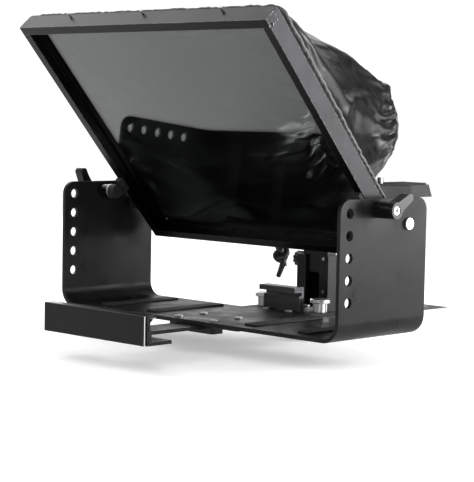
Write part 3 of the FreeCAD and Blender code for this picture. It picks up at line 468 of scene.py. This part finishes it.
STEEL_WEAR, RAIL_WEAR = (0.32, 0.32, 0.33), (0.26, 0.26, 0.27)
CLIP_COAT = dict(colour=(0.0045, 0.0045, 0.005), roughness=0.32, grain=1400, depth=0.00004, mottle=0.25,
                 spread=0.08, specular=0.13, wear=(0.2, 0.2, 0.2))
HARD_FINISHES = {
    "bracket_coat": dict(colour=(0.0085, 0.0085, 0.009), roughness=0.36, grain=1500, depth=0.00005,
                         mottle=0.5, spread=0.12, specular=0.085, wear=(0.05, 0.05, 0.052)),
    "block_black": dict(colour=(0.008, 0.008, 0.0085), roughness=0.32, grain=1100, mottle=0.2, specular=0.16,
                        wear=(0.06, 0.06, 0.062)),
    "rail_metal": dict(colour=(0.42, 0.42, 0.43), roughness=0.34, metallic=1.0, stretch=(4, 0.08, 4),
                       mottle=0.08, spread=0.1, streak=0.6),
    "screw_steel": dict(colour=(0.36, 0.36, 0.37), roughness=0.34, metallic=1.0, grain=1800, mottle=0.15,
                        wear=(0.6, 0.6, 0.6)),
    "bright_steel": dict(colour=(0.56, 0.56, 0.55), roughness=0.3, metallic=1.0, grain=1600, depth=0.00001,
                         mottle=0.06),
    "rubber_black": dict(colour=(0.012, 0.012, 0.012), roughness=0.72, grain=1300, depth=0.00008, mottle=0.2,
                         specular=0.3),
    "stop_grey": dict(colour=(0.035, 0.035, 0.037), roughness=0.34, metallic=0.8, grain=800,
                      stretch=(0.08, 4, 4), streak=0.4, wear=STEEL_WEAR),
    "nylon": dict(colour=(0.012, 0.012, 0.012), roughness=0.45, grain=1200, mottle=0.15, specular=0.35),
    "post_black": dict(colour=(0.02, 0.02, 0.021), roughness=0.26, metallic=0.8, grain=1000, wear=STEEL_WEAR),
    "clip_coat": CLIP_COAT,
    "clip_plate": dict(CLIP_COAT, bare_ends=(0.72, 0.72, 0.73)),
    "spring_steel": dict(colour=(0.62, 0.62, 0.63), roughness=0.24, metallic=1.0, stretch=(0.06, 4, 4),
                         streak=0.5),
    "frame_black": dict(colour=(0.0095, 0.0095, 0.010), roughness=0.30, metallic=1.0, grain=1000,
                        stretch=(2.5, 0.25, 0.25), mottle=0.55, spread=0.07, streak=0.5, wear=RAIL_WEAR),
    "frame_cross": dict(colour=(0.008, 0.008, 0.0085), roughness=0.32, metallic=1.0, grain=1000,
                        stretch=(0.08, 3, 3), mottle=0.1, spread=0.05, streak=0.5, wear=RAIL_WEAR),
    "hook_tape": dict(colour=(0.006, 0.006, 0.006), roughness=0.8, grain=1500, depth=0.0006, mottle=0.5,
                      specular=0.3),
    "brass_pin": dict(colour=(0.3, 0.3, 0.31), roughness=0.35, metallic=1.0, grain=1500),
    "knob_plastic": dict(colour=(0.012, 0.012, 0.0125), roughness=0.38, grain=1500, depth=0.00004, mottle=0.2,
                         specular=0.4),
    "lever_plastic": dict(colour=(0.006, 0.006, 0.0065), roughness=0.24, grain=1000, depth=0.000008,
                          mottle=0.2, spread=0.05, coat=0.05, specular=0.13, wear=(0.05, 0.05, 0.05)),
}
CLOTHS = {
    "hood_cloth": dict(colour=(0.005, 0.005, 0.0054), roughness=0.34, thread=0.0005, depth=0.00003, sheen=0.0,
                       specular=0.4),
    # hem_piping: the cord's grey is partly its own colour and partly a painted highlight along the hem's rounded
    # edge
    "hem_piping": dict(colour=(0.10, 0.10, 0.103), roughness=0.45, thread=0.0006, depth=0.0001, sheen=0.2),
    "cord_black": dict(colour=(0.010, 0.010, 0.0105), roughness=0.5, thread=0.0008, depth=0.00012,
                       sheen=0.05),
}


def make_materials():
    """Every material by its slot's name, and the two variants that only some nodes have."""
    materials = {name: surface(name, **settings) for name, settings in HARD_FINISHES.items()}
    for name, settings in CLOTHS.items():
        materials[name] = cloth(name, **settings)
    materials["mirror_glass"] = coated_glass()
    return materials


# ---- CAD nodes ----
VARIANTS = {"frame_top_rail": "frame_cross", "frame_bottom_rail": "frame_cross", "clip_face": "clip_plate"}
EDGE_WIDTH = {
    "u_bracket": 0.0009, "frame_left_rail": 0.0005, "frame_right_rail": 0.0005, "frame_top_rail": 0.0005,
    "frame_bottom_rail": 0.0005, "clip_channel": 0.0012, "clip_face": 0.0008, "rear_stop": 0.0004,
    "riser_base": 0.0004, "riser_column": 0.0004, "camera_bracket": 0.0004, "camera_sled": 0.0004,
    "base_rail": 0.0004, "tripod_block": 0.0004, "cross_block": 0.0004, "guide_blocks": 0.0004,
    "clip_bar": 0.0003, "bed_pads": 0.0004, "sled_pad": 0.0002, "stop_pads": 0.0006, "stop_bumpers": 0.0008,
    "lever_left_handle": 0.0009, "lever_right_handle": 0.0009, "height_lock_knob": 0.0006,
    "sled_lock_knob": 0.0006, "rail_lock_knob": 0.0006, "pivot_screws": 0.0005, "lever_left_screw": 0.0004,
    "lever_right_screw": 0.0004, "thumbscrew_left": 0.0003, "thumbscrew_right": 0.0003, "stop_posts": 0.0003,
    "stop_washers": 0.0002, "base_screws": 0.0002, "floor_screws": 0.0003, "rear_stop_screws": 0.0003,
    "bracket_screws": 0.0003, "glass": 0.0004,
}


def soften(name, width):
    """Rounds a CAD node's sharp edges with modifiers, so that they catch the light."""
    part = NODES[name]
    custom = part.data.attributes.get("custom_normal")
    if custom:
        part.data.attributes.remove(custom)
    part.data.shade_smooth()
    weld = part.modifiers.new("weld", "WELD")
    weld.merge_threshold = 0.000005
    flatten = part.modifiers.new("flatten", "DECIMATE")
    flatten.decimate_type = "DISSOLVE"
    flatten.angle_limit = math.radians(0.5)
    bevel = part.modifiers.new("bevel", "BEVEL")
    bevel.width = width
    bevel.segments = 2
    bevel.limit_method = "ANGLE"
    bevel.angle_limit = math.radians(35)
    bevel.harden_normals = True
    weighted = part.modifiers.new("weighted", "WEIGHTED_NORMAL")
    weighted.keep_sharp = True


def dress_cad_nodes(materials):
    """Gives each CAD node its slot's material, or a variant of it, and softens its edges."""
    slots = {row["node"]: row["material_slot"] for row in frame["record"]["subparts"]}
    for name, part in NODES.items():
        part.data.materials.clear()
        part.data.materials.append(materials[VARIANTS.get(name, slots[name])])
    for name, width in EDGE_WIDTH.items():
        soften(name, width)


# ---- meshes ----
def add_piece(name, points, faces, material, uvs=None):
    """Mesh object from points and faces; uvs gives one pair for each point."""
    data = bpy.data.meshes.new(name)
    data.from_pydata([tuple(p) for p in points], [], faces)
    if uvs:
        layer = data.uv_layers.new(name="metres")
        for loop in data.loops:
            layer.data[loop.index].uv = uvs[loop.vertex_index]
    data.materials.append(material)
    data.shade_smooth()
    data.update()
    piece = bpy.data.objects.new(name, data)
    bpy.context.scene.collection.objects.link(piece)
    return piece


def freeze(piece):
    """Turns the modified mesh into the piece's own mesh."""
    bpy.context.view_layer.update()
    graph = bpy.context.evaluated_depsgraph_get()
    done = bpy.data.meshes.new_from_object(piece.evaluated_get(graph), preserve_all_data_layers=True,
                                           depsgraph=graph)
    piece.modifiers.clear()
    piece.data = done


def smooth_step(low, high, value):
    """Rises smoothly from 0 at low to 1 at high."""
    t = min(1.0, max(0.0, (value - low) / (high - low)))
    return t * t * (3 - 2 * t)


def sweep(name, path, radius, material, sides, closed=False):
    """Tube along a path; radius is a function of the share of the way and the angle round."""
    points, faces, uvs = [], [], []
    count = len(path)
    normal = None
    length = 0.0
    for i in range(count):
        after = path[(i + 1) % count] if closed or i < count - 1 else path[i]
        before = path[i - 1] if closed or i > 0 else path[i]
        tangent = (after - before).normalized()
        if normal is None:
            normal = tangent.orthogonal().normalized()
        normal = (normal - tangent * normal.dot(tangent)).normalized()
        side = tangent.cross(normal)
        for k in range(sides):
            angle = 2 * math.pi * k / sides
            reach = radius(i / count, angle)
            points.append(path[i] + (normal * math.cos(angle) + side * math.sin(angle)) * reach)
            uvs.append((length, k / sides * 2 * math.pi * reach))
        length += (after - path[i]).length
    rows = count if closed else count - 1
    for i in range(rows):
        a, b = i * sides, ((i + 1) % count) * sides
        for k in range(sides):
            n = (k + 1) % sides
            faces.append((a + k, a + n, b + n, b + k))
    if not closed:
        faces.append(tuple(reversed(range(sides))))
        faces.append(tuple((count - 1) * sides + k for k in range(sides)))
    return add_piece(name, points, faces, material, uvs)


def join(name, pieces):
    """Joins meshes into the first one."""
    mesh = bmesh.new()
    for piece in pieces:
        mesh.from_mesh(piece.data)
    first = pieces[0]
    mesh.to_mesh(first.data)
    mesh.free()
    for piece in pieces[1:]:
        bpy.data.objects.remove(piece)
    first.name = name
    first.data.shade_smooth()
    return first


# ---- hood ----
def hood_start():
    """Centre, half width and half height of the hood where it meets the frame."""
    (u0, u1), (v0, v1), (_, n1) = spans("velcro_strips")
    side_gap, end_gap, behind = 0.001, 0.0034, 0.0004
    half_w = (u1 - u0) / 2 - side_gap
    half_h = (v1 - v0) / 2 - end_gap
    return on_frame(0, (v0 + v1) / 2, n1 + behind), half_w, half_h


def hood_point(t, angle, start):
    """Centre of the hood's section at the share t, and its smooth skin's point at an angle."""
    centre0, half_w0, half_h0 = start
    arc = math.sin(math.pi * t)
    centre = centre0.lerp(LENS_CENTRE, t) + Vector((0, 0, HOOD_RISE)) * arc
    lean = math.atan2(-UP.y, UP.z) * (1 - t) ** LEAN_TAPER
    up = Vector((0, -math.sin(lean), math.cos(lean)))
    half_w = LENS_R + (half_w0 - LENS_R) * (1 - t) ** WIDTH_TAPER
    half_h = LENS_R + (half_h0 - LENS_R) * (1 - t) ** HEIGHT_TAPER + HOOD_FULL_H * arc * t
    squareness = 2.0 + (HOOD_SQUARE - 2.0) * max(0.0, 1 - t * ROUND_SHARE) ** ROUND_POWER
    c, s = math.cos(angle), math.sin(angle)
    reach = (abs(c) ** squareness + abs(s) ** squareness) ** (-1 / squareness)
    return centre, centre + Vector((half_w * reach * c, 0, 0)) + up * (half_h * reach * s)


def along(path, t):
    """Angle in degrees of a path at a share of the way, or None beyond its ends."""
    if t < path[0][0] or t > path[-1][0]:
        return None
    for (t0, a0), (t1, a1) in zip(path, path[1:]):
        if t <= t1:
            return a0 + (a1 - a0) * smooth_step(t0, t1, t)
    return path[-1][1]


def apart(a, b):
    """Signed difference of two angles in degrees."""
    return (a - b + 180) % 360 - 180


def crease_height(path, width, height, t, degrees):
    """Lift of one crease: a crest that is sharper than a wave, fading in and out along its length."""
    reach, fade_share = 3.5, 0.12
    middle_angle = along(path, t)
    if middle_angle is None:
        return 0.0
    off = apart(degrees, middle_angle) / width
    if abs(off) > reach:
        return 0.0
    first, last = path[0][0], path[-1][0]
    fade = smooth_step(first, first + fade_share, t)
    if last < 1.0:
        fade *= 1 - smooth_step(last - fade_share, last, t)
    shape = math.exp(-abs(off) ** 1.5)
    return height * MILLIMETRE * fade * shape


def seam_height(path, t, degrees):
    """Lift of a seam: a low ridge with a groove beside it."""
    off = apart(degrees, along(path, t)) * (1.0 + t)
    ridge = math.exp(-(off / SEAM_HALF_WIDTH) ** 2)
    groove = math.exp(-((off - SEAM_GROOVE_OFF) / SEAM_HALF_WIDTH) ** 2)
    return SEAM_HEIGHT * ridge - SEAM_HEIGHT * groove


def other_side(path, turn=0):
    """The same path on the left side, turned by an angle that grows from nothing to turn along the way."""
    return [(share, 180 - a - turn * share) for share, a in path]


def gather_lift(t, angle):
    """Lift of the small uneven gathers towards the lens and of the slow waves along the hood."""
    ring = Vector((math.cos(angle), math.sin(angle), 0))
    strength = 1.0 + noise.noise(ring * 2.6 + Vector((4, 0, 0)))
    gathers = noise.noise(ring * 9 + Vector((0, 3, 1.2 * t)))
    gathers += 0.6 * noise.noise(ring * 19 + Vector((7, 0, 1.6 * t)))
    waves = noise.noise(ring * 3.1 + Vector((0, 9, 3.5 * t)))
    lift = GATHER_HEIGHT * smooth_step(0.55, 1.0, t) * gathers * strength
    return lift + WAVE_HEIGHT * smooth_step(0.1, 0.6, t) * waves


def pleat(t, angle):
    """How far folds lift the cloth off its smooth skin, at a share of the way and an angle."""
    degrees = math.degrees(angle)
    lift = gather_lift(t, angle)
    for path, width, height in CREASES:
        lift += crease_height(path, width, height, t, degrees)
        mirrored = other_side(path, CREASE_TURN)
        lift += crease_height(mirrored, width * CREASE_WIDEN, height * CREASE_LOWER, t, degrees)
    for path in SEAMS:
        lift += seam_height(path, t, degrees) + seam_height(other_side(path), t, degrees)
    return lift


def hood_grid(start):
    """Points, faces and UVs of the hood's cloth, with its gathered cuff at the lens."""
    angles = [2 * math.pi * (k + 0.5) / HOOD_AROUND for k in range(HOOD_AROUND)]
    points, uvs = [], []
    for row in range(HOOD_ROWS):
        t = row / (HOOD_ROWS - 1)
        for angle in angles:
            centre, place = hood_point(t, angle, start)
            out = (place - centre).normalized()
            points.append(place + out * (pleat(t, angle) - HOOD_INSET))
            uvs.append((angle * UV_RADIUS, t * UV_LENGTH))
    for step in range(1, CUFF_ROWS + 1):
        share = step / CUFF_ROWS
        centre = LENS_CENTRE.lerp(CUFF_CENTRE, min(1.0, share * 1.4)) + Vector((0, CUFF_DEPTH * share, 0))
        radius = LENS_R + (CUFF_R - LENS_R) * smooth_step(0, 0.8, share)
        for angle in angles:
            reach = radius + pleat(1.0, angle) * (1 - 0.8 * share)
            points.append(centre + Vector((reach * math.cos(angle), 0, reach * math.sin(angle))))
            uvs.append((angle * UV_RADIUS, UV_LENGTH + UV_CUFF * share))
    faces = []
    for i in range(HOOD_ROWS + CUFF_ROWS - 1):
        for k in range(HOOD_AROUND):
            n = (k + 1) % HOOD_AROUND
            a, b = i * HOOD_AROUND, (i + 1) * HOOD_AROUND
            faces.append((a + k, b + k, b + n, a + n))
    return points, faces, uvs


def held_points():
    """Points that the simulation holds, with weights: both ends of the hood, and the rows near the frame."""
    held = []
    rows = HOOD_ROWS + CUFF_ROWS
    for row in range(rows):
        if row < HELD_FRAME_ROWS or row >= rows - HELD_CUFF_ROWS:
            weight = 1.0
        else:
            weight = HELD_NEAR_FRAME * (1 - smooth_step(0, HELD_SHARE, row / rows))
        if weight > 0:
            held += [(row * HOOD_AROUND + k, weight) for k in range(HOOD_AROUND)]
    return held


def drape(piece, held):
    """Cloth simulation: the fabric is a little longer than its span, so it buckles into folds. Then each
    point's move off the skin is damped and capped, which keeps the hood's outline."""
    rest = [vertex.co.copy() for vertex in piece.data.vertices]
    group = piece.vertex_groups.new(name="held")
    for index, weight in held:
        group.add([index], weight, "REPLACE")
    cloth_modifier = piece.modifiers.new("cloth", "CLOTH")
    settings = cloth_modifier.settings
    settings.vertex_group_mass = "held"
    settings.quality = 6
    settings.mass = 0.12
    settings.tension_stiffness = 18
    settings.compression_stiffness = 18
    settings.shear_stiffness = 8
    settings.bending_stiffness = 0.25
    settings.shrink_min = -0.07
    settings.air_damping = 4
    settings.effector_weights.gravity = 0.35
    cloth_modifier.collision_settings.use_self_collision = False
    cloth_modifier.point_cache.frame_start = 1
    cloth_modifier.point_cache.frame_end = CLOTH_STEPS
    scene = bpy.context.scene
    for step in range(1, CLOTH_STEPS + 1):
        scene.frame_set(step)
    freeze(piece)
    scene.frame_set(1)
    for vertex, place in zip(piece.data.vertices, rest):
        move = vertex.co - place
        out = Vector((place.x, 0, place.z - LENS_CENTRE.z)).normalized()
        outward = move.dot(out)
        move -= out * outward * (OUTWARD_DAMP if outward > 0 else INWARD_DAMP)
        if move.length > HOOD_SHIFT_CAP:
            move = move.normalized() * HOOD_SHIFT_CAP
        vertex.co = place + move


def thicken(piece, thickness):
    """Gives a sheet its thickness on the inside and makes the result its own mesh."""
    wall = piece.modifiers.new("wall", "SOLIDIFY")
    wall.thickness = thickness
    wall.offset = -1.0
    freeze(piece)
    piece.data.shade_smooth()


def make_hood(materials):
    """The hood's cloth, from the frame to the lens."""
    points, faces, uvs = hood_grid(hood_start())
    hood = add_piece("hood_fabric", points, faces, materials["hood_cloth"], uvs)
    drape(hood, held_points())
    fine = hood.modifiers.new("fine", "SUBSURF")
    fine.levels = fine.render_levels = 1
    thicken(hood, HOOD_WALL)
    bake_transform(hood)
    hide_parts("hood")


def make_skirt(materials):
    """Strip of cloth inside the hood's lower edge. It stays on the frame and covers the join as it tilts."""
    start = hood_start()
    points, uvs, faces = [], [], []
    for i in range(SKIRT_ROWS + 1):
        share = i / SKIRT_ROWS
        t = SKIRT_END * i / SKIRT_ROWS
        for degrees in range(SKIRT_FIRST, SKIRT_LAST + 1):
            angle = math.radians(degrees)
            centre, place = hood_point(t, angle, start)
            inset = SKIRT_INSET + SKIRT_EXTRA_INSET * share
            points.append(place + (centre - place).normalized() * inset)
            uvs.append((angle * UV_RADIUS, t * UV_LENGTH))
    across = SKIRT_LAST - SKIRT_FIRST + 1
    for i in range(SKIRT_ROWS):
        for k in range(across - 1):
            a, b = i * across + k, (i + 1) * across + k
            faces.append((a, b, b + 1, a + 1))
    skirt = add_piece("hood_skirt", points, faces, materials["hood_cloth"], uvs)
    thicken(skirt, SKIRT_WALL)
    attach(skirt, "frame")


# ---- hem, cuff and knot ----
def frame_loop(u_half, v_low, v_high, n, corner, count, wobble):
    """Rounded rectangle round the frame's back; wobble gives each point a small move out and behind."""
    straight_u, straight_v = 2 * (u_half - corner), (v_high - v_low) - 2 * corner
    bend = math.pi / 2 * corner
    total = 2 * (straight_u + straight_v) + 4 * bend
    path = []
    for i in range(count):
        s = total * i / count
        heading = 0.0
        place = Vector((-(u_half - corner), v_low))
        for run in (straight_u, straight_v, straight_u, straight_v):
            if s <= run:
                place += Vector((math.cos(heading), math.sin(heading))) * s
                break
            place += Vector((math.cos(heading), math.sin(heading))) * run
            s -= run
            turn = min(s, bend) / corner
            hub = place + Vector((-math.sin(heading), math.cos(heading))) * corner
            spoke = Vector((math.sin(heading + turn), -math.cos(heading + turn))) * corner
            place = hub + spoke
            if s <= bend:
                heading += turn
                break
            s -= bend
            heading += math.pi / 2
        outward = Vector((math.sin(heading), -math.cos(heading)))
        out, behind = wobble(i / count)
        path.append(on_frame(place.x + outward.x * out, place.y + outward.y * out, n + behind))
    return path


def make_hem(materials):
    """Piping over the drawstring's channel, its grey partly the cord's own colour and partly a painted highlight
    along its rounded edge, and the dark gathered band under it.
    """
    (_, u1), (v0, v1), (n0, n1) = spans("hood_hem")
    corner = 0.009
    channel_r = (n1 - n0) / 2
    middle_n = (n0 + n1) / 2
    piping_r, band_r, tuck_depth, tucks = 0.00115, 0.0017, 0.0005, 170
    band_inset, band_drop = 0.0012, 0.0008

    def ripple(share):
        turn = 2 * math.pi * share
        point = Vector((40 * math.cos(turn), 40 * math.sin(turn), 0))
        return 0.0009 * noise.noise(point * 0.6), 0.0011 * noise.noise(point * 0.9 + Vector((9, 0, 4)))

    def tuck(share, angle):
        return band_r + tuck_depth * math.cos(2 * math.pi * share * tucks) * math.cos(angle)

    def even(share, angle):
        return piping_r

    outer = frame_loop(u1 - channel_r, v0 + channel_r, v1 - channel_r, middle_n, corner, 620, ripple)
    piping = sweep("hem_piping", outer, even, materials["hem_piping"], 10, closed=True)
    inset = channel_r + band_inset
    inner = frame_loop(u1 - inset, v0 + inset, v1 - inset, middle_n - band_drop, corner, 900, ripple)
    band = sweep("hem_band", inner, tuck, materials["cord_black"], 10, closed=True)
    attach(piping, "frame")
    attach(band, "frame")
    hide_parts("hood_hem")


def make_cuff(materials):
    """Elastic casing that closes the hood round the lens, with its small gathers."""
    centre = CUFF_CENTRE + Vector((0, CUFF_DEPTH + 0.0008, 0))
    count, pleat_share, casing_r = 480, 0.06, 0.0020
    path = []
    for k in range(count):
        angle = 2 * math.pi * k / count
        reach = CUFF_R - 0.001 + pleat_share * pleat(1.0, angle)
        weave = 0.0004 * math.sin(23 * angle)
        path.append(centre + Vector((reach * math.cos(angle), weave, reach * math.sin(angle))))

    def gather(share, angle):
        turn = 2 * math.pi * share
        point = Vector((12 * math.cos(turn), 12 * math.sin(turn), 0.4 * angle))
        return casing_r + 0.0007 * noise.noise(point)

    cuff = sweep("hood_cuff", path, gather, materials["hood_cloth"], 12, closed=True)
    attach(cuff, "base")


def curve_points(points, steps):
    """Points of a smooth line that starts and ends at the first and last of the given points."""
    data = bpy.data.curves.new("run", "CURVE")
    data.dimensions = "3D"
    data.resolution_u = steps
    spline = data.splines.new("NURBS")
    spline.points.add(len(points) - 1)
    for point, place in zip(spline.points, points):
        point.co = tuple(place) + (1.0,)
    spline.order_u = 3
    spline.use_endpoint_u = True
    holder = bpy.data.objects.new("run", data)
    bpy.context.scene.collection.objects.link(holder)
    bpy.context.view_layer.update()
    mesh = bpy.data.meshes.new_from_object(holder)
    line = [vertex.co.copy() for vertex in mesh.vertices]
    bpy.data.objects.remove(holder)
    return line


def knot_path(centre, count):
    """Closed line of the drawstring's overhand knot, a trefoil."""
    path = []
    for k in range(count):
        a = 2 * math.pi * k / count
        reach = 0.0040 + 0.0021 * math.cos(3 * a)
        place = Vector((reach * math.cos(2 * a), 0.0028 * math.sin(3 * a), reach * math.sin(2 * a)))
        path.append(centre + place)
    return path


def fluted(radius, taper, depth, flutes):
    """Radius of a run of gathered cloth, which narrows by taper along its length."""
    return lambda share, angle: radius - taper * share + depth * math.cos(flutes * angle)


def make_knot(materials):
    """Gathered end of the hem, the knot and the drawstring's two tails."""
    low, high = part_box("drawstring_knot")
    neck_length, knot_off = 0.0195, -0.0022
    knot_at = Vector((knot_off, (low.y + high.y) / 2, high.z - neck_length))
    cord = materials["cord_black"]
    body = sweep("knot_body", knot_path(knot_at, 120), fluted(0.0025, 0, 0.0002, 7), cord, 14, closed=True)

    neck_top = Vector((low.x + 0.003, knot_at.y - 0.001, high.z - 0.001))
    neck_middle = neck_top.lerp(knot_at, 0.5) + Vector((0.0006, 0.0008, 0.001))
    neck_line = curve_points([neck_top, neck_middle, knot_at], 24)
    neck = sweep("knot_neck", neck_line, fluted(0.0046, 0.0016, 0.0006, 9), cord, 27)

    bottom = low.z + 0.001
    tail_bend = Vector((knot_at.x + 0.0004, knot_at.y + 0.0008, (knot_at.z + bottom) / 2 - 0.001))
    tail_end = Vector((knot_at.x - 0.0034, knot_at.y, bottom))
    tail_line = curve_points([knot_at, knot_at + Vector((0.0022, 0.0008, -0.006)), tail_bend, tail_end], 20)
    tail = sweep("knot_tail", tail_line, fluted(0.0033, 0.0014, 0.0003, 7), cord, 14)

    stub_places = [Vector((0, 0, 0)), Vector((0.0034, 0.001, -0.005)), Vector((0.0026, 0.002, -0.0105))]
    stub_line = curve_points([knot_at + place for place in stub_places], 16)
    stub = sweep("knot_short_tail", stub_line, fluted(0.0019, 0, 0.0003, 5), cord, 12)

    knot = join("drawstring_tie", [body, neck, tail, stub])
    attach(knot, "frame")
    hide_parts("drawstring_knot")


make_camera()
make_stage()
make_flag()
make_lights()
MATERIALS = make_materials()
dress_cad_nodes(MATERIALS)
for make in (make_hood, make_skirt, make_hem, make_cuff, make_knot):
    make(MATERIALS)
